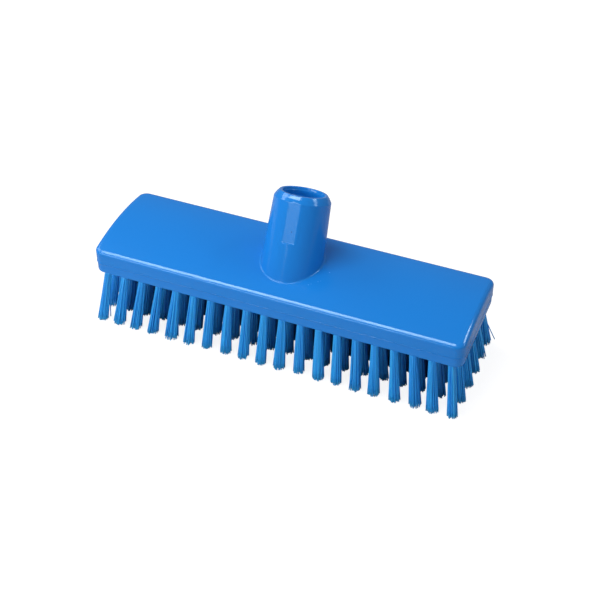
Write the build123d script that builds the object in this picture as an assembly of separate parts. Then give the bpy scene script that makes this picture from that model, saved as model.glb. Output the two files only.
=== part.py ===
from build123d import *
import math
import os

# Deck scrub brush head: a moulded plastic block with a tilted, threaded handle
# socket, and six rows of staple-set tufts. Millimetres, +Z up. The bristle tips
# are trimmed on the plane z = 0, X runs along the block and the socket leans to +Y.

# Block
block_length = 225.0
block_width = 64.0
block_edge_height = 15.0
crown_rise = 3.8
corner_radius = 5.7
top_edge_radius = 2.6
bottom_edge_chamfer = 1.2
parting_height = 6.8
parting_inset = 0.2

# Handle socket: its place on the block, and heights along its own axis from the crown
socket_tilt = 25.5
socket_offset = 1.4
socket_shoulder_height = 36.0
socket_root_depth = 16.0
base_flare = 1.8
band_height = 3.3
band_inset = 2.2
base_chamfer = 1.2
shoulder_chamfer = 0.4
lip_chamfer = 0.5

# Threaded bore of the socket, its wider lead-in, and the lip around it
bore_radius = 12.0
bore_length = 29.0
bore_end_chamfer = 1.0
lead_step = 0.8
lead_length = 1.6
lip_width = 1.5

# Flat on the front of the socket, from the shoulder down to a small ledge
flat_depth = 0.35
flat_start_height = 12.5

# Tufts: the grid of holes, how far the outer tufts lean out, and the trim
tuft_columns = 20
tuft_rows = 6
end_margin = 7.05
side_margin = 4.25
end_lean = 5.4
side_lean = 4.9
trim_length = 35.0
trim_cut = 0.5
hole_radius = 2.2
hole_depth = 9.5
tuft_root_radius = 2.0
tuft_tip_radius = 3.2
tuft_sides = 6
bunch_clearance = 0.1
strand_gap_share = 0.08

# The slice of the block's underside that joins the tufts of one row
slice_width = 5.4
slice_thickness = 1.0
slice_end_margin = 3.0

# Anchor staple in the folded end of each tuft
staple_height = 1.6
staple_thickness = 0.5
staple_clearance = 0.05

# One overrun serves all cuts
overrun = 2.0

# Heights and spans that follow
underside_z = trim_length
parting_z = underside_z + parting_height
edge_z = underside_z + block_edge_height
crown_z = edge_z + crown_rise
lead_radius = bore_radius + lead_step
rim_radius = lead_radius + lip_width
rim_height = socket_shoulder_height + band_height
socket_shoulder_radius = rim_radius + band_inset
socket_base_radius = socket_shoulder_radius + base_flare
first_column_x = end_margin - block_length / 2
first_row_y = side_margin - block_width / 2
column_pitch = -2 * first_column_x / (tuft_columns - 1)
row_pitch = -2 * first_row_y / (tuft_rows - 1)
tilt_angle = math.radians(socket_tilt)
socket_plane = Plane(
    origin=(0, socket_offset, crown_z),
    x_dir=(1, 0, 0),
    z_dir=(0, math.sin(tilt_angle), math.cos(tilt_angle)),
)


def column_x(column):
    return first_column_x + column * column_pitch


def row_y(row):
    return first_row_y + row * row_pitch


# Where the middle of a tuft stands at any height: the tufts fan out in line with
# how far they are from the middle of the block.
def tuft_point(column, row, z):
    x = column_x(column)
    y = row_y(row)
    drop_share = (underside_z - z) / trim_length
    lean_x = end_lean * x / abs(first_column_x)
    lean_y = side_lean * y / abs(first_row_y)
    return Vector(x + lean_x * drop_share, y + lean_y * drop_share, z)


# A plane at the mouth of a tuft's hole, with its Z axis pointing into the block.
def tuft_plane(column, row):
    mouth = tuft_point(column, row, underside_z)
    inward = (mouth - tuft_point(column, row, 0)).normalized()
    across = Vector(1, 0, 0) - inward * inward.X
    return Plane(origin=mouth, x_dir=across, z_dir=inward)


def block_prism(inset, low_z, high_z):
    plan = RectangleRounded(
        block_length - 2 * inset,
        block_width - 2 * inset,
        corner_radius - inset,
    )
    return extrude(Plane.XY.offset(low_z) * plan, high_z - low_z)


# The cylinder along X whose top is the crown. It is cut by the block's outline.
def crown_cylinder():
    half_width = block_width / 2
    crown_radius = (half_width**2 + crown_rise**2) / (2 * crown_rise)
    cylinder = Cylinder(crown_radius, block_length + overrun)
    return Pos(0, 0, crown_z - crown_radius) * Rot(0, 90, 0) * cylinder


# The two mould halves meet at a fine step round the side.
def block_body():
    upper = block_prism(0, parting_z, crown_z + overrun) & crown_cylinder()
    top_face = upper.faces().sort_by(Axis.Z)[-1]
    upper = fillet(top_face.edges(), top_edge_radius)
    lower = block_prism(parting_inset, underside_z, parting_z)
    bottom_face = lower.faces().sort_by(Axis.Z)[0]
    lower = chamfer(bottom_face.edges(), bottom_edge_chamfer)
    return upper + lower


def socket_radius(height):
    taper = (socket_shoulder_radius - socket_base_radius) / socket_shoulder_height
    return socket_base_radius + taper * height


# The collar in section, still solid: tapered wall, chamfered shoulder and lip.
def collar_profile():
    shoulder_point = (socket_shoulder_radius, socket_shoulder_height)
    lip_point = (rim_radius, rim_height)
    outline = Polyline(
        (0, -socket_root_depth),
        (socket_radius(-socket_root_depth), -socket_root_depth),
        shoulder_point,
        lip_point,
        (0, rim_height),
        close=True,
    )
    profile = make_face(outline)
    shoulder = profile.vertices().sort_by_distance(shoulder_point)[0]
    profile = chamfer(shoulder, shoulder_chamfer)
    lip = profile.vertices().sort_by_distance(lip_point)[0]
    return chamfer(lip, lip_chamfer)


# The bore in section: chamfered lip, wider lead-in, threaded length, chamfered end.
def bore_profile():
    lead_z = rim_height - lead_length
    mouth_z = lead_z - lead_step
    bore_z = mouth_z - bore_length
    outline = Polyline(
        (0, rim_height + overrun),
        (lead_radius + lip_chamfer + overrun, rim_height + overrun),
        (lead_radius, rim_height - lip_chamfer),
        (lead_radius, lead_z),
        (bore_radius, mouth_z),
        (bore_radius, bore_z),
        (bore_radius - bore_end_chamfer, bore_z - bore_end_chamfer),
        (0, bore_z - bore_end_chamfer),
        close=True,
    )
    return make_face(outline)


# A flat down the front of the collar, from the shoulder to a small ledge.
def socket_flat():
    inner_low = socket_radius(flat_start_height) - flat_depth
    inner_high = socket_radius(rim_height) - flat_depth
    outer = socket_base_radius + overrun
    outline = Polyline(
        (-inner_low, flat_start_height),
        (-outer, flat_start_height),
        (-outer, rim_height),
        (-inner_high, rim_height),
        close=True,
    )
    return extrude(Plane.YZ * make_face(outline), socket_base_radius / 2, both=True)


def socket_collar():
    collar = revolve(Plane.XZ * collar_profile(), Axis.Z) - socket_flat()
    collar = socket_plane.location * collar
    return split(collar, Plane.XY.offset(parting_z), keep=Keep.TOP)


def socket_bore():
    return socket_plane.location * revolve(Plane.XZ * bore_profile(), Axis.Z)


def row_slice(row):
    length = 2 * (abs(first_column_x) + slice_end_margin)
    place = Pos(0, row_y(row), underside_z + slice_thickness / 2)
    return place * Box(length, slice_width, slice_thickness)


# Each hole leans as its tuft does, and has as many sides as the bunch that fills it.
def tuft_hole(column, row):
    plane = tuft_plane(column, row).offset(-overrun)
    return extrude(plane * RegularPolygon(hole_radius, tuft_sides), hole_depth + overrun)


# The chamfer runs round the foot of the collar, where it meets the crown.
def block_with_socket():
    body = block_body()
    collar = socket_collar()
    joined = body + collar
    seam = new_edges(body, collar, combined=joined)
    return chamfer(seam, base_chamfer) - socket_bore()


def brush_block():
    cuts = []
    for row in range(tuft_rows):
        cuts.append(row_slice(row))
        for column in range(tuft_columns):
            cuts.append(tuft_hole(column, row))
    return block_with_socket() - cuts


# The corners of one strand at one height: a rhombus that takes two sides of the
# tuft's outline, held off its neighbours by a gap that grows with the tuft.
def strand_corners(column, row, z, radius, side):
    middle = tuft_point(column, row, z)
    out_angle = (side + 1) * math.tau / tuft_sides
    gap = strand_gap_share * radius
    reach = radius - gap
    foot = middle + Vector(gap * math.cos(out_angle), gap * math.sin(out_angle), 0)
    corners = [foot]
    for corner in (side, side + 1, side + 2):
        angle = corner * math.tau / tuft_sides
        corners.append(foot + Vector(reach * math.cos(angle), reach * math.sin(angle), 0))
    return corners


# A strand widens in a straight line from inside the slice to just past the trim.
def strand(column, row, side):
    flare = (tuft_tip_radius - tuft_root_radius) / trim_length
    start_z = underside_z + slice_thickness / 2
    start_radius = tuft_root_radius - flare * slice_thickness / 2
    end_radius = tuft_tip_radius + flare * trim_cut
    start = strand_corners(column, row, start_z, start_radius, side)
    end = strand_corners(column, row, -trim_cut, end_radius, side)
    return ConvexPolyhedron(start + end)


# The tight folded bunch that fills a hole, notched across its end for the staple.
def root_bunch(column, row):
    mouth = tuft_plane(column, row)
    start = slice_thickness / 2
    section = RegularPolygon(hole_radius - bunch_clearance, tuft_sides)
    bunch = extrude(mouth.offset(start) * section, hole_depth - start)
    notch_thickness = staple_thickness + 2 * staple_clearance
    notch = mouth.offset(hole_depth - staple_height) * Rectangle(2 * hole_radius, notch_thickness)
    return bunch - extrude(notch, staple_height + overrun)


# All the strands of a row grow from one slice and are then trimmed flat together.
def bristle_row(row):
    pieces = []
    for column in range(tuft_columns):
        pieces.append(root_bunch(column, row))
        for side in range(0, tuft_sides, 2):
            pieces.append(strand(column, row, side))
    fused = row_slice(row) + pieces
    return split(fused, Plane.XY, keep=Keep.TOP)


# The staple spans the hole from corner to corner, level with the end of the bunch.
def staple(column, row):
    plane = tuft_plane(column, row).offset(hole_depth - staple_height)
    width = 2 * (hole_radius - staple_thickness / 2)
    return extrude(plane * Rectangle(width, staple_thickness), staple_height)


def staple_row(row):
    return Compound([staple(column, row) for column in range(tuft_columns)])


def write_row(name, shape, row):
    export_step(shape, f"parts/{name}_{row + 1}.step")


os.makedirs("parts", exist_ok=True)
export_step(brush_block(), "parts/brush_block.step")

# The back rows mirror the front ones.
for row in range((tuft_rows + 1) // 2):
    bristles = bristle_row(row)
    staples = staple_row(row)
    write_row("bristle_row", bristles, row)
    write_row("staple_row", staples, row)
    back_row = tuft_rows - 1 - row
    if back_row > row:
        write_row("bristle_row", mirror(bristles, about=Plane.XZ), back_row)
        write_row("staple_row", mirror(staples, about=Plane.XZ), back_row)
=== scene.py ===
import math

import bpy
import numpy as np
from mathutils import Matrix, Vector


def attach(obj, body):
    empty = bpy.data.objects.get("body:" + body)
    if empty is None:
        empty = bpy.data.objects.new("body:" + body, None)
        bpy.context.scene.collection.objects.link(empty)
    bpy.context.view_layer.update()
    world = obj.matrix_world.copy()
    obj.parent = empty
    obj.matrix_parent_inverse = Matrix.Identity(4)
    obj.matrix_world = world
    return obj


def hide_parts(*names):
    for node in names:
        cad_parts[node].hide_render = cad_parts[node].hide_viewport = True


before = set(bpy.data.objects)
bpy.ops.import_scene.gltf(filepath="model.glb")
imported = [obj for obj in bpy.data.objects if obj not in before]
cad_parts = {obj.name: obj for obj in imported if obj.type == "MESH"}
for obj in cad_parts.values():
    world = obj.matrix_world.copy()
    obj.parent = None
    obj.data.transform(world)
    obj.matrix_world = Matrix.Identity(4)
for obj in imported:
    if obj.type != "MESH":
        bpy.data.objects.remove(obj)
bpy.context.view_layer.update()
mm = 0.001  # shapes are worked out in millimetres, and makeMesh puts them into metres
fullTurn = 2 * math.pi
print("frame loaded")


# Points (n, 3) in mm and face arrays, each (count, sides), become one smooth mesh object.
def makeMesh(name, points, faceSets):
    corners = np.concatenate([faces.ravel() for faces in faceSets]).astype(np.int32)
    sides = np.concatenate([np.full(len(faces), faces.shape[1]) for faces in faceSets])
    starts = np.concatenate(([0], np.cumsum(sides)[:-1])).astype(np.int32)
    mesh = bpy.data.meshes.new(name)
    mesh.vertices.add(len(points))
    mesh.vertices.foreach_set("co", (points * mm).astype(np.float32).ravel())
    mesh.loops.add(len(corners))
    mesh.loops.foreach_set("vertex_index", corners)
    mesh.polygons.add(len(sides))
    mesh.polygons.foreach_set("loop_start", starts)
    mesh.polygons.foreach_set("use_smooth", np.ones(len(sides), bool))
    mesh.update(calc_edges=True)
    made = bpy.data.objects.new(name, mesh)
    bpy.context.scene.collection.objects.link(made)
    return made


# Points that lie in the same place, to a thousandth of a mm, become one, and the faces are
# numbered again.
def weld(points, faceSets):
    keys = np.round(points * 1000).astype(np.int64)
    first, place = np.unique(keys, axis=0, return_index=True, return_inverse=True)[1:]
    return points[first], [place.ravel()[faces] for faces in faceSets]


# Faces between rings of equal count: each ring is joined to the next one, point by point.
def ringQuads(ringCount, around):
    ring = np.arange(ringCount - 1)[:, None] * around
    here = np.arange(around)[None, :]
    following = (here + 1) % around
    low, high = ring, ring + around
    quads = np.stack([low + here, high + here, high + following, low + following], axis=-1)
    return quads.reshape(-1, 4)


# A smooth step from 0 at start to 1 at end: three of the share's square less two of its cube.
def smoothStep(value, start, end):
    share = np.clip((value - start) / (end - start), 0, 1)
    return share * share * (3 - 2 * share)


# Directions from a to b, both (n, 3), in equal turns, as (steps, n, 3): each mixes the two by
# the sines of the angles still to go and gone.
def turnBetween(a, b, steps):
    angle = np.arccos(np.clip((a * b).sum(1), -1, 1))[None, :, None]
    share = np.linspace(0, 1, steps)[:, None, None]
    return (np.sin((1 - share) * angle) * a + np.sin(share * angle) * b) / np.sin(angle)


# The camera: azimuth and elevation are in radians, lengths in mm, the focal length in pixels
# of the 594-pixel frame, and the clip distances in metres
photoView = {
    "azimuth": 0.38338,
    "elevation": 0.7152,
    "distance": 753.82,
    "aim": (0, 0, 45.0),
    "across": 3.016,
    "up": -14.716,
    "focalPixels": 1304.6,
    "framePixels": 594,
    "sensor": 36.0,
    "clip": (0.02, 20),
}


# The camera looks at the aim, moved across and up in the picture, and stands its distance
# back from there, along the azimuth and elevation.
def makeCamera():
    azimuth, elevation = photoView["azimuth"], photoView["elevation"]
    flat = math.cos(elevation)
    back = Vector((math.sin(azimuth) * flat, -math.cos(azimuth) * flat, math.sin(elevation)))
    right = Vector((math.cos(azimuth), math.sin(azimuth), 0))
    up = back.cross(right)
    target = Vector(photoView["aim"]) + photoView["across"] * right + photoView["up"] * up
    place = (target + back * photoView["distance"]) * mm
    data = bpy.data.cameras.new("photoCamera")
    data.sensor_width = photoView["sensor"]
    data.lens = photoView["focalPixels"] * photoView["sensor"] / photoView["framePixels"]
    data.clip_start, data.clip_end = photoView["clip"]
    camera = bpy.data.objects.new("photoCamera", data)
    bpy.context.scene.collection.objects.link(camera)
    turn = Matrix((right, up, back)).transposed()
    camera.matrix_world = Matrix.Translation(place) @ turn.to_4x4()
    bpy.context.scene.camera = camera


makeCamera()
print("camera placed")


# The moulded block, in mm
block = {
    "length": 225.0,
    "width": 64.0,
    "underside": 35.0,
    "edgeHeight": 15.0,
    "crownRise": 3.8,
    "cornerRadius": 5.7,
    "topRound": 1.6,
    "topFacet": 1.3,
    "endRound": 2.3,
    "endFacet": 0.6,
    "facetTurn": math.radians(22),
    "bottomRound": 1.4,
    "partingHeight": 6.8,
    "partingInset": 0.2,
    "partingBead": 0.15,
    "beadSection": ((0, 2.2), (0.7, 1.7), (1, 1), (0.7, 0)),  # out and up, times the bead
    "partingGap": 1,  # to the plain rings over and under it
    "sideRing": 4,  # one more plain ring, this far over the parting line
    "cornerSteps": 12,
    "topRings": 22,
    "topCrowding": 1.3,  # the power of their shares
    "crownRings": 5,
    "roundRings": 9,
}

# The tuft grid and its holes, in mm
grid = {
    "columns": 20,
    "rows": 6,
    "endMargin": 7.05,
    "sideMargin": 4.25,
    "endLean": 5.4,
    "sideLean": 4.9,
    "holeRadius": 2.15,
    "holeDepth": 9.5,
    "mouthFlare": 1.05,  # times the hole's radius, as is endShare
    "mouthRound": 0.12,
    "wallRing": 3,  # one more ring, this far up the hole's wall
    "endChamfer": 0.6,
    "endShare": 0.6,
    "cellSteps": 6,
    "cellReach": 2.45,  # from the outermost centres to their cells' edge
}

# The handle socket, in mm, with heights along its own axis
socket = {
    "tilt": math.radians(25.5),
    "offset": 1.4,
    "baseRadius": 17.9,
    "shoulderRadius": 16.5,
    "taperHeight": 36.0,
    "shoulderHeight": 35.6,
    "shoulderRound": 0.5,
    "waistRadius": 15.3,
    "waistHeight": 37.6,
    "waistRound": 0.5,
    "rimRadius": 13.85,
    "rimHeight": 39.35,
    "outerLip": 0.35,
    "innerLip": 0.55,
    "lipSteps": 6,
    "waistSteps": 4,
    "coneSteps": 4,
    "baseRound": 1.3,
    "baseSteps": 8,
    "footReach": 40.0,  # the foot is sought this far up and down
    "footHalvings": 40,
    "boreRadius": 11.8,
    "boreLength": 29.0,
    "boreChamfer": 1.0,
    "floorRing": 0.35,  # times the floor's radius
    "leadRadius": 12.1,
    "leadLength": 1.6,
    "flatDepth": 0.42,
    "flatTurn": math.radians(4),
    "flatStart": 12.5,
    "ledgeRings": (0.4, 0.06, -0.1, -0.45),  # their heights over the ledge
    "ledgeHalf": 0.35,  # half its width as an angle
    "backRise": 7,  # how far over the foot they pass at the back
    "aboveLedge": (0.12, 1, 9),  # first and last share of the way, and how many rings
    "belowLedge": (0.08, 0.97, 11),
    "threadPitch": 5.2,
    "threadDepth": 1.25,
    "ridgeHalf": (0.1, 0.29),  # half its top and half its foot, in pitches
    "threadRise": 3,  # it fades in over this height, and out over the next
    "threadFade": 2.2,
    "threadGap": 0.6,
    "threadRings": 62,
    "ringGaps": (0.3, 0.1),  # from the wall's foot to the first, and from the last to the mouth
}

crownTop = block["underside"] + block["edgeHeight"] + block["crownRise"]
crownRadius = ((block["width"] / 2) ** 2 + block["crownRise"] ** 2) / (2 * block["crownRise"])
crownAxis = crownTop - crownRadius
socketFoot = np.array([0, socket["offset"], crownTop])
socketAxis = np.array([0, math.sin(socket["tilt"]), math.cos(socket["tilt"])])
socketRight = np.array([1.0, 0, 0])
socketRear = np.cross(socketAxis, socketRight)
columnXs = np.linspace(-1, 1, grid["columns"]) * (block["length"] / 2 - grid["endMargin"])
rowYs = np.linspace(-1, 1, grid["rows"]) * (block["width"] / 2 - grid["sideMargin"])
ringPoints = 2 * (grid["columns"] + grid["rows"]) * grid["cellSteps"]
ringAngles = -math.pi / 2 + fullTurn * np.arange(ringPoints) / ringPoints  # from the front
outwards = np.cos(ringAngles)[:, None] * socketRight + np.sin(ringAngles)[:, None] * socketRear
fromFlat = np.arccos(np.clip(-np.sin(ringAngles - socket["flatTurn"]), -1, 1))


# The crown is a cylinder along X: its height is its axis's, plus the rise at that y.
def crownHeight(y):
    return crownAxis + np.sqrt(crownRadius**2 - y**2)


# Points round the socket's axis: the foot, plus height along the axis, plus radius outwards.
def aroundSocket(radius, height):
    radius = np.broadcast_to(radius, ringAngles.shape)[:, None]
    height = np.broadcast_to(height, ringAngles.shape)[:, None]
    return socketFoot + socketAxis * height + outwards * radius


# The tapered wall's radius falls in a straight line from the foot to the shoulder.
wallSlope = (socket["shoulderRadius"] - socket["baseRadius"]) / socket["taperHeight"]


def wallRadius(height):
    return socket["baseRadius"] + wallSlope * height


# The flat, a little right of the front, lies the flat's depth inside the wall: a point at an
# angle from its middle has the flat's distance over the cosine of that angle as its radius.
# Far from the flat the cosine is held at a half, where the wall is the nearer one anyway.
def withFlat(radius, height):
    distance = wallRadius(height) - socket["flatDepth"]
    flat = distance / np.maximum(np.cos(fromFlat), 0.5)
    return np.where(height > socket["flatStart"], np.minimum(radius, flat), radius)


# A profile's corner, rounded: the arc that touches both of its sides, as (steps, 2). Its
# centre is the radius over the sine of half the corner's angle from the corner.
def roundCorner(before, corner, after, radius, steps):
    before, corner, after = (np.array(point, float) for point in (before, corner, after))
    a = (before - corner) / np.linalg.norm(before - corner)
    b = (after - corner) / np.linalg.norm(after - corner)
    half = math.acos(float(a @ b)) / 2
    centre = corner + (a + b) / np.linalg.norm(a + b) * radius / math.sin(half)
    start = corner + a * radius / math.tan(half) - centre
    end = corner + b * radius / math.tan(half) - centre
    turn = math.pi - 2 * half
    share = np.linspace(0, 1, steps)[:, None]
    arc = np.sin((1 - share) * turn) * start + np.sin(share * turn) * end
    return centre + arc / math.sin(turn)


# The bore from its floor to the mouth. Its radius is the bore's, less a rounded ridge that
# follows a right-hand helix, where height over pitch less the angle in turns is whole. The
# ridge fades out above the floor and below the mouth.
def boreRings():
    leadHeight = socket["rimHeight"] - socket["leadLength"]
    mouthHeight = leadHeight - (socket["leadRadius"] - socket["boreRadius"])
    floorHeight = mouthHeight - socket["boreLength"] - socket["boreChamfer"]
    wallFoot = floorHeight + socket["boreChamfer"]
    floorRadius = socket["boreRadius"] - socket["boreChamfer"]
    threadEnd = mouthHeight - socket["threadGap"]
    firstGap, lastGap = socket["ringGaps"]
    rings = [
        aroundSocket(socket["floorRing"] * floorRadius, floorHeight),
        aroundSocket(floorRadius, floorHeight),
        aroundSocket(socket["boreRadius"], wallFoot),
    ]
    for height in np.linspace(wallFoot + firstGap, mouthHeight - lastGap, socket["threadRings"]):
        phase = height / socket["threadPitch"] - ringAngles / fullTurn
        ridge = 1 - smoothStep(np.abs(phase - np.round(phase)), *socket["ridgeHalf"])
        fade = smoothStep(height, wallFoot, wallFoot + socket["threadRise"])
        fade = fade * (1 - smoothStep(height, threadEnd - socket["threadFade"], threadEnd))
        radius = socket["boreRadius"] - socket["threadDepth"] * ridge * fade
        rings.append(aroundSocket(radius, height))
    rings.append(aroundSocket(socket["boreRadius"], mouthHeight))
    rings.append(aroundSocket(socket["leadRadius"], leadHeight))
    return rings


# From the lead-in over the rounded lip and down two cones, the upper one less steep, to the
# round shoulder.
def lipRings():
    leadFoot = (socket["leadRadius"], socket["rimHeight"] - socket["leadLength"])
    inner = (socket["leadRadius"], socket["rimHeight"])
    outer = (socket["rimRadius"], socket["rimHeight"])
    waist = (socket["waistRadius"], socket["waistHeight"])
    below = socket["shoulderHeight"] - 10  # any height below gives the wall's direction
    shoulder = (wallRadius(socket["shoulderHeight"]), socket["shoulderHeight"])
    lipSteps = socket["lipSteps"]
    arcs = [
        roundCorner(leadFoot, inner, outer, socket["innerLip"], lipSteps),
        roundCorner(inner, outer, waist, socket["outerLip"], lipSteps),
        roundCorner(outer, waist, shoulder, socket["waistRound"], socket["waistSteps"]),
        roundCorner(waist, shoulder, (wallRadius(below), below), socket["shoulderRound"], lipSteps),
    ]
    upperCone = np.linspace(arcs[1][-1], arcs[2][0], socket["coneSteps"])[1:-1]
    lowerCone = np.linspace(arcs[2][-1], arcs[3][0], socket["coneSteps"])[1:-1]
    rings = []
    for radius, height in np.concatenate([*arcs[:2], upperCone, arcs[2], lowerCone, arcs[3]]):
        rings.append(aroundSocket(withFlat(np.full(ringPoints, radius), height), height))
    return rings


# A ball of the base's radius rolls round the foot and touches both wall and crown. Its centre
# is sought on the wall moved out by the radius, where that meets the crown moved up by it,
# by halving the range of heights round the socket's foot.
def footBall():
    ball = socket["baseRound"]
    lean = math.hypot(1, wallSlope)
    low = np.full(ringPoints, -socket["footReach"])
    high = np.full(ringPoints, socket["footReach"])
    for halving in range(socket["footHalvings"]):
        middle = (low + high) / 2
        centre = aroundSocket(wallRadius(middle) + ball * lean, middle)
        above = np.hypot(centre[:, 1], centre[:, 2] - crownAxis) > crownRadius + ball
        low, high = np.where(above, low, middle), np.where(above, middle, high)
    wallNormal = (outwards - wallSlope * socketAxis) / lean
    crownNormal = (centre - [0, 0, crownAxis]) * [0, 1, 1] / (crownRadius + ball)
    return centre, wallNormal, crownNormal, middle + ball * wallSlope / lean


# The wall from the shoulder to the base round. Its rings turn to follow the foot as they come
# down, and a close set of them at the front makes the ledge under the flat.
def wallRings(footHeight):
    top = socket["shoulderHeight"] - socket["shoulderRound"]
    turned = smoothStep(fromFlat, socket["ledgeHalf"], math.pi)
    rise = footHeight.max() - socket["flatStart"] + socket["backRise"]
    ledge = socket["flatStart"] + turned * rise
    edge = [ledge + gap for gap in socket["ledgeRings"]]
    heights = [top + (edge[0] - top) * share for share in np.linspace(*socket["aboveLedge"])]
    heights += edge[1:]
    for share in np.linspace(*socket["belowLedge"]):
        heights.append(edge[-1] + (footHeight - edge[-1]) * share)
    return [aroundSocket(withFlat(wallRadius(height), height), height) for height in heights]


# The block's outline, a rounded rectangle, as points and outward normals. Each side takes as
# many steps as the tuft cells on that side, so it meets the underside point for point.
def outline(halfLength, halfWidth, radius):
    alongX = grid["columns"] * grid["cellSteps"] - block["cornerSteps"]
    alongY = grid["rows"] * grid["cellSteps"] - block["cornerSteps"]
    straightX, straightY = halfLength - radius, halfWidth - radius
    corner = np.arange(1, block["cornerSteps"]) / block["cornerSteps"] * math.pi / 2
    arcNormal = np.stack([np.sin(corner), -np.cos(corner)], axis=1)
    quarter = np.array([[0, -1], [1, 0]])
    points, normals = [], []
    for turn in range(4):
        steps, reach, depth, inner = (alongX, straightX, halfWidth, straightY)
        if turn % 2:
            steps, reach, depth, inner = (alongY, straightY, halfLength, straightX)
        side = np.column_stack([np.linspace(-reach, reach, steps + 1), np.full(steps + 1, -depth)])
        arc = np.array([reach, -inner]) + radius * arcNormal
        spin = np.linalg.matrix_power(quarter, turn).T
        points.append(np.concatenate([side, arc]) @ spin)
        normals.append(np.concatenate([np.tile([0.0, -1.0], (steps + 1, 1)), arcNormal]) @ spin)
    shift = -(alongX // 2)
    return [np.roll(np.concatenate(parts), shift, axis=0) for parts in (points, normals)]


# The round between crown and side, with a narrow facet in it: a ball inside the block touches
# the crown, slides down along the facet, and then touches the side. Round the corners the
# long sides' ball and facet turn into the ends' with the square of the normal's x.
def topRound():
    turn = block["facetTurn"]
    points, normals = outline(block["length"] / 2, block["width"] / 2, block["cornerRadius"])
    endShare = normals[:, :1] ** 2
    ball = block["topRound"] + (block["endRound"] - block["topRound"]) * endShare
    facet = block["topFacet"] + (block["endFacet"] - block["topFacet"]) * endShare
    flatCentre = points - (ball + facet * math.cos(turn)) * normals
    height = crownAxis + np.sqrt((crownRadius - ball) ** 2 - flatCentre[:, 1:] ** 2)
    centre = np.hstack([flatCentre, height])
    crownNormal = (centre - [0, 0, crownAxis]) * [0, 1, 1] / (crownRadius - ball)
    sideNormal = np.column_stack([normals, np.zeros(ringPoints)])
    facetNormal = sideNormal * math.sin(turn) + [0, 0, math.cos(turn)]
    slide = facet * (sideNormal * math.cos(turn) - [0, 0, math.sin(turn)])
    upper = centre + ball * turnBetween(crownNormal, facetNormal, block["crownRings"])
    lower = centre + slide + ball * turnBetween(facetNormal, sideNormal, block["roundRings"])
    return list(upper) + list(lower)


# The top runs from the foot's round to the edge's, in straight lines in plan, on the crown.
# Its rings lie closer at the foot, because their shares of the way go up by a power.
def topRings(inner, outer):
    rings = []
    for share in np.linspace(0, 1, block["topRings"] + 2)[1:-1] ** block["topCrowding"]:
        flat = (1 - share) * inner[:, :2] + share * outer[:, :2]
        rings.append(np.column_stack([flat, crownHeight(flat[:, 1])]))
    return rings


# The side down to the fine bead at the parting line, a step in, the lower half's wall, and its
# rounded bottom edge, each as an inset from the outline and a height.
def sideRings():
    parting = block["underside"] + block["partingHeight"]
    inset, bead, ball = block["partingInset"], block["partingBead"], block["bottomRound"]
    gap = block["partingGap"]
    stops = [(0, parting + block["sideRing"]), (0, parting + gap)]
    stops += [(-out * bead, parting + up * bead) for out, up in block["beadSection"]]
    stops += [(inset, parting - bead), (inset, parting - gap)]
    angles = np.linspace(0, math.pi / 2, block["roundRings"])
    insets = inset + ball * (1 - np.cos(angles))
    stops += zip(insets, block["underside"] + ball * (1 - np.sin(angles)))
    points, normals = outline(block["length"] / 2, block["width"] / 2, block["cornerRadius"])
    rings = []
    for cut, height in stops:
        rings.append(np.column_stack([points - cut * normals, np.full(ringPoints, height)]))
    return rings


# Where the lines of the tuft cells lie. The cells meet half way between the tufts' centres,
# and each is divided in equal steps.
def cellLines(centres):
    middles = (centres[1:] + centres[:-1]) / 2
    reach = grid["cellReach"]
    edges = np.concatenate([[centres[0] - reach], middles, [centres[-1] + reach]])
    steps = np.arange(grid["cellSteps"]) / grid["cellSteps"]
    fine = edges[:-1, None] + (edges[1:] - edges[:-1])[:, None] * steps
    return np.append(fine.ravel(), edges[-1])


# The points of a rectangle's four sides, anticlockwise from its front left corner.
def rectangle(xs, ys):
    front = np.column_stack([xs[:-1], np.full(len(xs) - 1, ys[0])])
    right = np.column_stack([np.full(len(ys) - 1, xs[-1]), ys[:-1]])
    rear = np.column_stack([xs[:0:-1], np.full(len(xs) - 1, ys[-1])])
    left = np.column_stack([np.full(len(ys) - 1, xs[0]), ys[:0:-1]])
    return np.concatenate([front, right, rear, left])


# How far a tuft has leaned at a drop below the underside, in line with its place.
def tuftLean(x, y, drop):
    share = drop / block["underside"]
    return grid["endLean"] * x / columnXs[-1] * share, grid["sideLean"] * y / rowYs[-1] * share


# The underside's cells. Each runs from its own rectangle in to the round hole, up the hole's
# leaning wall and over its end, and shares its rectangle's points with its neighbours.
def cellPatches(xLines, yLines):
    steps = grid["cellSteps"]
    around = 4 * steps
    angles = math.radians(-135) + fullTurn * np.arange(around) / around  # from the same corner
    circle = np.column_stack([np.cos(angles), np.sin(angles)]) * grid["holeRadius"]
    stops = [
        (grid["mouthFlare"], 0),
        (1, grid["mouthRound"]),
        (1, grid["wallRing"]),
        (1, grid["holeDepth"] - grid["endChamfer"]),
        (grid["endShare"], grid["holeDepth"]),
    ]
    points, quads, ends = [], [], []
    for column, x in enumerate(columnXs):
        xs = xLines[column * steps:(column + 1) * steps + 1]
        for row, y in enumerate(rowYs):
            ys = yLines[row * steps:(row + 1) * steps + 1]
            rings = [np.column_stack([rectangle(xs, ys), np.full(around, block["underside"])])]
            for scale, depth in stops:
                ring = circle * scale + [x, y] + tuftLean(x, y, -depth)
                rings.append(np.column_stack([ring, np.full(around, block["underside"] + depth)]))
            start = len(points) * len(rings) * around
            points.append(np.concatenate(rings))
            quads.append(ringQuads(len(rings), around) + start)
            ends.append(start + (len(rings) - 1) * around + np.arange(around)[None, ::-1])
    return np.concatenate(points), np.concatenate(quads), np.concatenate(ends)


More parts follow.
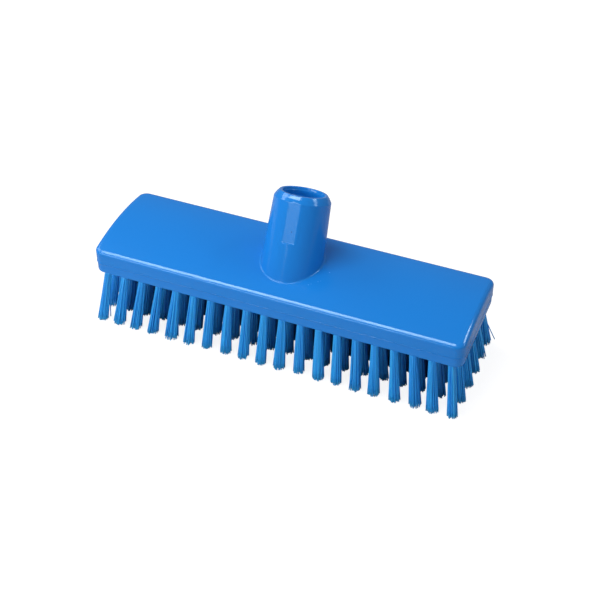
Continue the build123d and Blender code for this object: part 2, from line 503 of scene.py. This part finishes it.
# The whole block is one closed skin: bore, lip, wall, base round, crown, edge, side, underside.
def makeBlock():
    centre, wallNormal, crownNormal, footHeight = footBall()
    footTurn = turnBetween(-wallNormal, -crownNormal, socket["baseSteps"])
    foot = list(centre + socket["baseRound"] * footTurn)
    edge = topRound()
    xLines, yLines = cellLines(columnXs), cellLines(rowYs)
    border = np.roll(rectangle(xLines, yLines), -(len(xLines) // 2), axis=0)
    rings = boreRings() + lipRings() + wallRings(footHeight) + foot
    rings += topRings(foot[-1], edge[0]) + edge + sideRings()
    rings.append(np.column_stack([border, np.full(ringPoints, block["underside"])]))
    cells, cellQuads, cellEnds = cellPatches(xLines, yLines)
    start = len(rings) * ringPoints
    points = np.concatenate(rings + [cells])
    floorFace = np.arange(ringPoints)[None, :]
    faces = [ringQuads(len(rings), ringPoints), floorFace, cellQuads + start, cellEnds + start]
    return makeMesh("brushBlock", *weld(points, faces))


brushBlock = makeBlock()
print("block made with", len(brushBlock.data.vertices), "points")


# One tuft's filaments, in mm. Stations are drops below the underside, and each filament ends
# at its own length.
tuft = {
    "filaments": 60,
    "thickness": 0.7,
    "sides": 6,
    "stations": (-8.6, -1.0, 4.0, 12.0, 20.0, 28.0),
    "rootSpread": 1.8,
    "tipSpread": 3.0,
    "tipJitter": 0.14,
    "bend": 0.16,
    "ragged": 0.45,
    "shortShare": 0.05,
    "shortBy": (0.5, 2.5),
    "tuftShift": 0.35,
    "tuftSpread": (1.08, 0.07),  # its mean, and how far tufts differ
    "deepMargin": 2,  # from the outermost centres to the edge of the roots
    "paintedShadeRange": (2.0, 24.0),  # how far inside that edge the painted shade of deep filaments starts and is full
    "strayShare": 0.003,
    "straySpread": 1.8,
    "seed": 100,
}
# How far each tip of the front row stands off the even fan, from left to right, in mm
frontShifts = np.array([0.9, 0.4, -0.5, -0.9, 0, -0.1, -0.2, 0.1, -0.1, -0.4,
                        -0.6, -0.4, 0.4, -0.5, -0.2, -0.8, 0.1, 0.4, -0.6, -0.8])
# And how wide each of them spreads, times tipSpread
frontSpreads = np.array([1.0, 1.2, 1.15, 1.2, 1.33, 1.13, 1.0, 1.1, 1.1, 1.1,
                         1.15, 1.1, 1.15, 1.1, 1.1, 1.15, 1.1, 1.2, 1.2, 1.0])
# Single filaments that stand out: row, column, the tip's x and y from the tuft's middle, and
# length, in mm. Each takes the place of one of the last filaments of its tuft.
strays = [(5, 19, 6.4, 1.2, 31.5), (5, 19, 2.7, 1.9, 34.3), (0, 0, 4.4, 2.4, 34.8),
          (1, 6, 1.5, 4.7, 34.5), (0, 7, 3.1, 1.6, 34.9)]


# Where one row's filaments start and end, their bow and their length. Roots fill the hole as
# a sunflower's seeds fill a disc: each turns on by the golden angle, and its radius goes with
# the root of its number. Tips fill a wider disc, shifted and spread from tuft to tuft.
def planRow(row, random):
    count = tuft["filaments"]
    total = grid["columns"] * count
    number = np.tile(np.arange(count) + 0.5, grid["columns"])
    tuftTurn = np.repeat(random.uniform(0, fullTurn, grid["columns"]), count)
    turn = number * math.pi * (3 - math.sqrt(5)) + tuftTurn
    disc = np.column_stack([np.cos(turn), np.sin(turn)]) * np.sqrt(number / count)[:, None]
    shift = random.normal(0, tuft["tuftShift"], (grid["columns"], 2))
    spread = random.normal(*tuft["tuftSpread"], grid["columns"])
    if row == 0:
        shift[:, 0], spread = frontShifts, frontSpreads
    shift, spread = np.repeat(shift, count, axis=0), np.repeat(spread, count)[:, None]
    jitter = random.normal(0, tuft["tipJitter"], (total, 2))
    tip = disc * spread * tuft["tipSpread"] + jitter + shift
    stray = random.random(total) < tuft["strayShare"]
    tip += stray[:, None] * disc * tuft["straySpread"]
    bow = random.normal(0, tuft["bend"], (total, 2))
    length = block["underside"] - np.abs(random.normal(0, tuft["ragged"], total))
    short = random.random(total) < tuft["shortShare"]
    length -= short * random.uniform(*tuft["shortBy"], total)
    for order, (strayRow, column, leanX, leanY, strayLength) in enumerate(strays, start=1):
        if strayRow == row:
            single = (column + 1) * count - order
            tip[single] = (leanX, leanY)
            length[single] = strayLength
    return disc * tuft["rootSpread"], tip, bow, length


# The rings of all filaments, as (filaments, stations, sides, 3), and how far down each point
# is. Below the mouth a filament spreads in a straight line from its root to its tip, plus a
# slight bow that is greatest half way.
def sweepRow(tuftX, tuftY, root, tip, bow, length):
    total, sides = len(length), tuft["sides"]
    angles = fullTurn * np.arange(sides) / sides
    circle = np.column_stack([np.cos(angles), np.sin(angles)]) * tuft["thickness"] / 2
    rings, alongs = [], []
    for drop in [np.full(total, station) for station in tuft["stations"]] + [length]:
        along = np.clip(drop, 0, None)[:, None] / block["underside"]
        offset = root * (1 - along) + tip * along + bow * 4 * along * (1 - along)
        leanX, leanY = tuftLean(tuftX, tuftY, drop)
        centre = np.column_stack([tuftX + leanX, tuftY + leanY]) + offset
        height = np.broadcast_to((block["underside"] - drop)[:, None, None], (total, sides, 1))
        rings.append(np.concatenate([centre[:, None] + circle, height], axis=2))
        alongs.append(np.repeat(along, sides, axis=1))
    return np.stack(rings, axis=1), np.stack(alongs, axis=1)


# The faces round every filament, and the caps on its root and its tip.
def rowFaces(total, stations, sides):
    perFilament = stations * sides
    starts = (np.arange(total) * perFilament)[:, None, None]
    around = np.arange(sides)[None, None, :]
    quads = (ringQuads(stations, sides)[None] + starts).reshape(-1, 4)
    rootCap = (around + starts).reshape(-1, sides)
    tipCap = (perFilament - 1 - around + starts).reshape(-1, sides)
    return [quads, rootCap, tipCap]


# One row of tufts. Each filament's own shade, how far down each point is, and how far inside the
# brush the root stands are kept for the colour; the last sets the painted shade that darkens
# filaments deep in the brush.
def makeRow(row):
    random = np.random.default_rng(tuft["seed"] + row)
    root, tip, bow, length = planRow(row, random)
    tuftX, tuftY = np.repeat(columnXs, tuft["filaments"]), np.full(len(length), rowYs[row])
    points, alongs = sweepRow(tuftX, tuftY, root, tip, bow, length)
    total, stations, sides = alongs.shape
    faces = rowFaces(total, stations, sides)
    made = makeMesh(f"bristleTufts{row + 1}", points.reshape(-1, 3), faces)
    # Painted shade: the deeper a root stands inside the tuft field, the darker its filament's
    # colour is painted, in place of the light that doesn't reach it.
    marginX = columnXs[-1] + tuft["deepMargin"] - np.abs(tuftX + root[:, 0])
    marginY = rowYs[-1] + tuft["deepMargin"] - np.abs(tuftY + root[:, 1])
    paintedShadeShare = smoothStep(np.minimum(marginX, marginY), *tuft["paintedShadeRange"])
    fields = {
        "strandShade": np.repeat(random.random(total), stations * sides),
        "strandAlong": alongs.ravel(),
        "strandPaintedShade": np.repeat(paintedShadeShare, stations * sides),
    }
    for name, values in fields.items():
        attribute = made.data.attributes.new(name, "FLOAT", "POINT")
        attribute.data.foreach_set("value", values.astype(np.float32))
    return made


bristleRows = [makeRow(row) for row in range(grid["rows"])]
print("tufts made with", sum(len(row.data.polygons) for row in bristleRows), "faces")


# Adds a node and sets its inputs by name, with _ for a space.
def addNode(tree, kind, **inputs):
    node = tree.nodes.new("ShaderNode" + kind)
    for name, value in inputs.items():
        node.inputs[name.replace("_", " ")].default_value = value
    return node


# Mixes two colours, each plain or an output, by a factor's output.
def mixColours(tree, factor, first, second):
    node = tree.nodes.new("ShaderNodeMix")
    node.data_type = "RGBA"
    tree.links.new(factor, node.inputs[0])
    for slot, colour in ((6, first), (7, second)):
        if isinstance(colour, tuple):
            node.inputs[slot].default_value = colour
        else:
            tree.links.new(colour, node.inputs[slot])
    return node.outputs[2]


# Carries a value from one range to another, each a low and a high end, and stops at its ends.
def mapRange(tree, value, source, target):
    node = addNode(
        tree,
        "MapRange",
        From_Min=source[0],
        From_Max=source[1],
        To_Min=target[0],
        To_Max=target[1],
    )
    tree.links.new(value, node.inputs["Value"])
    return node.outputs["Result"]


# Reads one of the values that a mesh keeps at its points.
def pointValue(tree, name):
    node = tree.nodes.new("ShaderNodeAttribute")
    node.attribute_name = name
    return node.outputs["Fac"]


# Soft noise, whose patches are about one over the scale across, in metres.
def noise(tree, vector, scale, detail=2.0):
    node = addNode(tree, "TexNoise", Scale=scale, Detail=detail)
    tree.links.new(vector, node.inputs["Vector"])
    return node.outputs["Fac"]


# A bare material: its node tree has only the output.
def newMaterial(name):
    material = bpy.data.materials.new(name)
    material.use_nodes = True
    tree = material.node_tree
    tree.nodes.clear()
    return material, tree, tree.nodes.new("ShaderNodeOutputMaterial")


# A material with one shader for its whole finish.
def newFinish(name):
    material, tree, output = newMaterial(name)
    shader = tree.nodes.new("ShaderNodeBsdfPrincipled")
    tree.links.new(shader.outputs["BSDF"], output.inputs["Surface"])
    return material, tree, shader


plastic = {
    "colour": (0.008, 0.236, 0.765, 1),
    "drift": (0.010, 0.224, 0.730, 1),
    "scuffed": (0.10, 0.42, 0.95, 1),
    "pit": (0.002, 0.09, 0.36, 1),
    "roughness": (0.14, 0.19),
    "ior": 1.57,
    "glossTint": (0.72, 0.94, 1.0, 1),
    "driftScale": 18,
    "driftRange": (0.3, 0.7),
    "grainScale": 900,
    "grainHeight": 0.00003,
    "grainStrength": 0.3,
    "markCore": 0.2,
}
# Small marks of use as place and radius in mm: pale scuffs beside the socket's foot and a
# speck behind them, and a dark pit in the socket's flat
paleMarks = [((16.6, -16.0, 52.9), 0.45), ((17.8, -14.9, 53.0), 0.35), ((20.8, -11.9, 53.3), 0.4),
             ((22.0, -10.9, 53.4), 0.3), ((24.2, -2.5, 53.8), 0.5)]
darkMarks = [((2.1, -5.4, 78.4), 0.6)]


# Where any of the marks lies: 1 in its core, and falling to nothing at its radius.
def markMask(tree, place, marks):
    mask = None
    for centre, radius in marks:
        gap = tree.nodes.new("ShaderNodeVectorMath")
        gap.operation = "DISTANCE"
        gap.inputs[1].default_value = [value * mm for value in centre]
        tree.links.new(place, gap.inputs[0])
        fade = (plastic["markCore"] * radius * mm, radius * mm)
        spot = mapRange(tree, gap.outputs["Value"], fade, (1, 0))
        if mask is None:
            mask = spot
            continue
        both = tree.nodes.new("ShaderNodeMath")
        both.operation = "MAXIMUM"
        tree.links.new(mask, both.inputs[0])
        tree.links.new(spot, both.inputs[1])
        mask = both.outputs[0]
    return mask


# Glossy moulded plastic: its blue drifts a little over wide patches, its gloss with it, and
# a fine orange peel breaks up the highlights.
def plasticMaterial():
    material, tree, shader = newFinish("blueMouldedPlastic")
    place = tree.nodes.new("ShaderNodeTexCoord").outputs["Object"]
    patches = noise(tree, place, plastic["driftScale"])
    colour = mixColours(tree, patches, plastic["colour"], plastic["drift"])
    colour = mixColours(tree, markMask(tree, place, paleMarks), colour, plastic["scuffed"])
    colour = mixColours(tree, markMask(tree, place, darkMarks), colour, plastic["pit"])
    roughness = mapRange(tree, patches, plastic["driftRange"], plastic["roughness"])
    bump = addNode(tree, "Bump", Strength=plastic["grainStrength"], Distance=plastic["grainHeight"])
    tree.links.new(noise(tree, place, plastic["grainScale"]), bump.inputs["Height"])
    tree.links.new(colour, shader.inputs["Base Color"])
    tree.links.new(roughness, shader.inputs["Roughness"])
    tree.links.new(bump.outputs["Normal"], shader.inputs["Normal"])
    shader.inputs["IOR"].default_value = plastic["ior"]
    shader.inputs["Specular Tint"].default_value = plastic["glossTint"]
    return material


bristle = {
    "dark": (0.012, 0.35, 0.93, 1),
    "light": (0.028, 0.47, 1.0, 1),
    # Painted shade: darker colours for filaments deep inside the brush, where little light reaches
    "paintedShadeDark": (0.001, 0.04, 0.15, 1),
    "paintedShadeLight": (0.003, 0.08, 0.27, 1),
    "tip": (0.07, 0.60, 1.0, 1),
    "tipRange": (0.9, 1),
    "tipShare": (0, 0.8),  # of the tip's colour, over that range of the length
    "roughness": 0.38,
    "ior": 1.49,
}


# Satin filament: each has its own shade, painted shade darkens those deep inside the brush, and its
# cut tip is a little paler.
def bristleMaterial():
    material, tree, shader = newFinish("blueFilament")
    shade = pointValue(tree, "strandShade")
    along = pointValue(tree, "strandAlong")
    nearTip = mapRange(tree, along, bristle["tipRange"], bristle["tipShare"])
    outer = mixColours(tree, shade, bristle["dark"], bristle["light"])
    outer = mixColours(tree, nearTip, outer, bristle["tip"])
    # Painted shade for filaments deep inside the brush.
    paintedShadeColour = mixColours(tree, shade, bristle["paintedShadeDark"], bristle["paintedShadeLight"])
    colour = mixColours(tree, pointValue(tree, "strandPaintedShade"), outer, paintedShadeColour)
    tree.links.new(colour, shader.inputs["Base Color"])
    shader.inputs["Roughness"].default_value = bristle["roughness"]
    shader.inputs["IOR"].default_value = bristle["ior"]
    return material


steel = {
    "colour": (0.56, 0.56, 0.58, 1),
    "streakStretch": (300, 4000, 4000),
    "streakDetail": 3,
    "streakRange": (0.3, 0.7),
    "roughness": (0.28, 0.5),
}


# Drawn steel of the anchor staples, streaked along the wire.
def steelMaterial():
    material, tree, shader = newFinish("stapleSteel")
    place = tree.nodes.new("ShaderNodeTexCoord").outputs["Object"]
    stretch = addNode(tree, "Mapping", Scale=steel["streakStretch"])
    tree.links.new(place, stretch.inputs["Vector"])
    streaks = noise(tree, stretch.outputs["Vector"], 1, steel["streakDetail"])
    roughness = mapRange(tree, streaks, steel["streakRange"], steel["roughness"])
    tree.links.new(roughness, shader.inputs["Roughness"])
    shader.inputs["Base Color"].default_value = steel["colour"]
    shader.inputs["Metallic"].default_value = 1
    return material


brushBlock.data.materials.append(plasticMaterial())
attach(brushBlock, "root")
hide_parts("brush_block")
filamentBlue = bristleMaterial()
stapleSteel = steelMaterial()
for number, row in enumerate(bristleRows, start=1):
    row.data.materials.append(filamentBlue)
    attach(row, "root")
    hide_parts(f"bristle_row_{number}")
    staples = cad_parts[f"staple_row_{number}"]
    staples.data.materials.clear()
    staples.data.materials.append(stapleSteel)
print("finishes given")


# Floor, sky and lamps. A lamp stands at its direction times its distance from the brush, faces
# it, and has its width along the direction named; brightness is what a camera would read off
# its face, where 1 is white.
studio = {
    "floorHalf": 6.0,
    "floorColour": (0.48, 0.48, 0.49, 1),
    "floorBounce": (0.78, 0.78, 0.79, 1),
    "floorSeen": (0.3, 0.3, 0.3, 1),
    "floorGlow": 0.87,
    "white": (1, 1, 1, 1),
    "skyLight": 0.22,
    "lampAim": (0, 0, 0.045),
}
lamps = {
    "overhead": {
        "towards": (-0.277, 0.036, 0.960),
        "along": (1, 0, 0),
        "distance": 0.81,
        "size": (0.5, 0.14),
        "brightness": 10.5,
    },
    "frontLeft": {
        "towards": (-0.46, -0.71, 0.53),
        "along": (0.84, -0.54, 0),
        "distance": 0.9,
        "size": (0.8, 0.28),
        "brightness": 6.0,
    },
    "leftWindow": {
        "towards": (-0.74, 0.16, 0.65),
        "along": (0, 1, 0),
        "distance": 0.9,
        "size": (0.35, 0.3),
        "brightness": 3.8,
    },
    "frontCard": {
        "towards": (-0.162, -0.941, 0.298),
        "along": (1, 0, 0),
        "distance": 0.92,
        "size": (0.04, 0.08),
        "brightness": 2.7,
    },
    "rightCard": {
        "towards": (0.71, 0.27, 0.65),
        "along": (-0.6, 0.76, 0.3),
        "distance": 0.9,
        "size": (0.62, 0.15),
        "brightness": 3.7,
    },
    "rearCard": {
        "towards": (0.526, 0.470, 0.709),
        "along": (0.18, -0.87, 0.46),
        "distance": 0.94,
        "size": (0.16, 0.05),
        "brightness": 12.0,
    },
}


# The camera sees one shader, and all other light meets the other one.
def chooseByCamera(tree, ray, met, seen, output):
    choose = tree.nodes.new("ShaderNodeMixShader")
    tree.links.new(ray.outputs["Is Camera Ray"], choose.inputs[0])
    tree.links.new(met.outputs[0], choose.inputs[1])
    tree.links.new(seen.outputs[0], choose.inputs[2])
    tree.links.new(choose.outputs[0], output.inputs["Surface"])


# The floor shows white to the camera with the brush's soft shadow on it. It is pale to the
# light that bounces off it and plain grey in reflections.
def makeFloor():
    half = studio["floorHalf"] / mm
    corners = np.array([[-half, -half, 0], [half, -half, 0], [half, half, 0], [-half, half, 0]])
    floor = makeMesh("studioFloor", corners, [np.array([[0, 1, 2, 3]])])
    material, tree, output = newMaterial("studioFloor")
    ray = tree.nodes.new("ShaderNodeLightPath")
    diffuse = ray.outputs["Is Diffuse Ray"]
    matt = addNode(tree, "BsdfDiffuse")
    pale = addNode(tree, "BsdfDiffuse", Color=studio["floorSeen"])
    glow = addNode(tree, "Emission", Color=studio["white"], Strength=studio["floorGlow"])
    seen = tree.nodes.new("ShaderNodeAddShader")
    bounce = mixColours(tree, diffuse, studio["floorColour"], studio["floorBounce"])
    tree.links.new(bounce, matt.inputs["Color"])
    tree.links.new(pale.outputs[0], seen.inputs[0])
    tree.links.new(glow.outputs[0], seen.inputs[1])
    chooseByCamera(tree, ray, matt, seen, output)
    floor.data.materials.append(material)


# The sky is white to the camera, and lights the brush evenly with a dimmer white.
def makeSky():
    world = bpy.data.worlds.new("studioSky")
    bpy.context.scene.world = world
    world.use_nodes = True
    tree = world.node_tree
    tree.nodes.clear()
    output = tree.nodes.new("ShaderNodeOutputWorld")
    ray = tree.nodes.new("ShaderNodeLightPath")
    dim = addNode(tree, "Background", Color=studio["white"], Strength=studio["skyLight"])
    white = addNode(tree, "Background", Color=studio["white"], Strength=1)
    chooseByCamera(tree, ray, dim, white, output)


# A lamp's power in watts is its brightness times pi times its area. It shines back along its
# direction, at the brush.
def makeLamp(name, lamp):
    wide, high = lamp["size"]
    data = bpy.data.lights.new(name, "AREA")
    data.shape = "RECTANGLE"
    data.size, data.size_y = wide, high
    data.energy = lamp["brightness"] * math.pi * wide * high
    made = bpy.data.objects.new(name, data)
    bpy.context.scene.collection.objects.link(made)
    towards = Vector(lamp["towards"]).normalized()
    along = Vector(lamp["along"])
    along = (along - towards * along.dot(towards)).normalized()
    turn = Matrix((along, towards.cross(along), towards)).transposed().to_4x4()
    place = Vector(studio["lampAim"]) + towards * lamp["distance"]
    made.matrix_world = Matrix.Translation(place) @ turn


makeFloor()
makeSky()
for name, lamp in lamps.items():
    makeLamp(name, lamp)
bpy.context.scene.view_settings.view_transform = "Standard"
print("studio lit")
